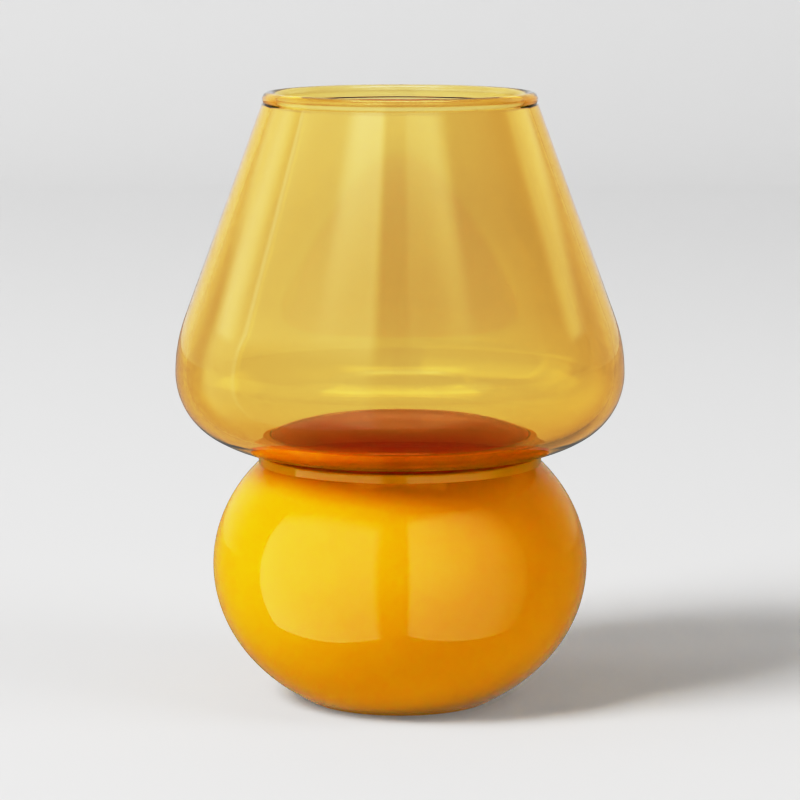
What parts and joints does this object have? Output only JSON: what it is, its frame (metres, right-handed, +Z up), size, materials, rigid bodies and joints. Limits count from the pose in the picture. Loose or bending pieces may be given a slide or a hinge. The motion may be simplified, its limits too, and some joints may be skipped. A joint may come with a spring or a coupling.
{
  "type": "tealight holder",
  "caption": "Mushroom-lamp-shaped tealight holder: an open-topped amber glass shade stands in the recessed top of a squat round opaque glass base.",
  "frame": {"origin": "centre of the base's foot, on the surface that the holder stands on", "axes": "+Z up along the axis of revolution; X and Y are level and interchangeable"},
  "size_m": [0.1, 0.1, 0.1361],
  "materials": {
    "amber_glass": "clear amber glass, fire polished",
    "opaque_glass": "opaque yellow-orange glass, fire polished, foot ground flat"
  },
  "bodies": {
    "base": {"base": "opaque_glass"},
    "shade": {"shade": "amber_glass"}
  },
  "joints": [
    {"name": "shade_lift", "type": "slide", "parent": "base", "child": "shade", "axis": [0, 0, 1], "range_m": [0, 0.06]}
  ]
}
